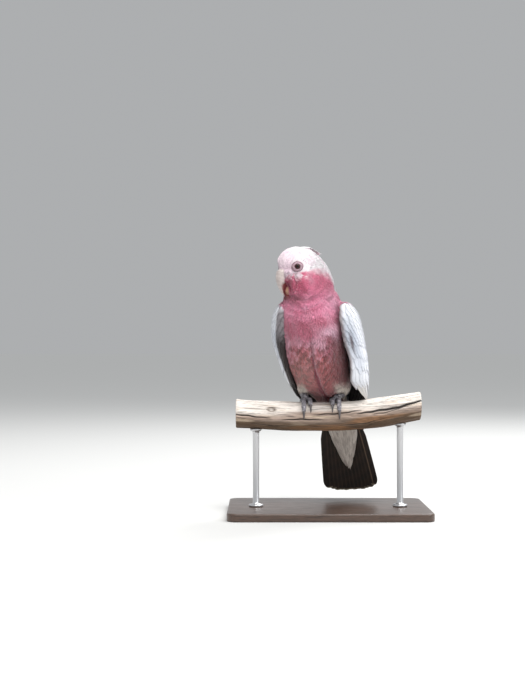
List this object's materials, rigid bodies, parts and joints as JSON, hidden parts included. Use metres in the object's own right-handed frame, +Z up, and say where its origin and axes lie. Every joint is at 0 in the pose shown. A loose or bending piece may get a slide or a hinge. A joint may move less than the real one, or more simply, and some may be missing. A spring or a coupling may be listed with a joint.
{
  "type": "galah",
  "caption": "Life-size galah cockatoo gripping a short cut branch, head turned to its right, on a flat display base with two rods.",
  "frame": {"origin": "on the stand's flat underside, straight below the middle of the perch's axis", "axes": "+Z up, -Y the way the breast faces, +X to the right of someone facing the bird"},
  "size_m": [0.25, 0.17, 0.335],
  "materials": {
    "crown_feathers": "soft matt feathers, whitish pink",
    "pink_feathers": "soft matt feathers, rose pink",
    "breast_feathers": "soft matt feathers, deep mottled rose",
    "wing_feathers": "smooth feathers, silver grey",
    "primary_feathers": "smooth feathers, blackish grey",
    "tail_feathers": "smooth feathers, brownish black",
    "vent_feathers": "soft feathers, pale warm grey",
    "thigh_feathers": "soft feathers, beige grey",
    "bill_horn": "satin horn, greyish white",
    "eye": "wet gloss, dark brown",
    "foot_scales": "scaly skin, mealy grey",
    "claws": "satin horn, dark grey",
    "weathered_branch": "bare weathered wood, cracked along the grain",
    "stand_wood": "dark stained, satin",
    "stand_steel": "satin steel"
  },
  "bodies": {
    "root": {"head": "crown_feathers", "crest": "crown_feathers", "neck": "pink_feathers", "trunk": "breast_feathers", "bill_upper": "bill_horn", "bill_lower": "bill_horn", "eye_left": "eye", "eye_right": "eye", "wing_left_coverts": "wing_feathers", "wing_left_secondaries": "wing_feathers", "wing_left_primaries": "primary_feathers", "wing_right_coverts": "wing_feathers", "wing_right_secondaries": "wing_feathers", "wing_right_primaries": "primary_feathers", "tail": "tail_feathers", "undertail_coverts": "vent_feathers", "uppertail_coverts": "wing_feathers", "thigh_left": "thigh_feathers", "thigh_right": "thigh_feathers", "shank_left": "foot_scales", "shank_right": "foot_scales", "toe_left_1": "foot_scales", "toe_left_2": "foot_scales", "toe_left_3": "foot_scales", "toe_left_4": "foot_scales", "toe_right_1": "foot_scales", "toe_right_2": "foot_scales", "toe_right_3": "foot_scales", "toe_right_4": "foot_scales", "claw_left_1": "claws", "claw_left_2": "claws", "claw_left_3": "claws", "claw_left_4": "claws", "claw_right_1": "claws", "claw_right_2": "claws", "claw_right_3": "claws", "claw_right_4": "claws", "perch": "weathered_branch", "stand_base": "stand_wood", "stand_rod_left": "stand_steel", "stand_rod_right": "stand_steel"}
  },
  "joints": []
}
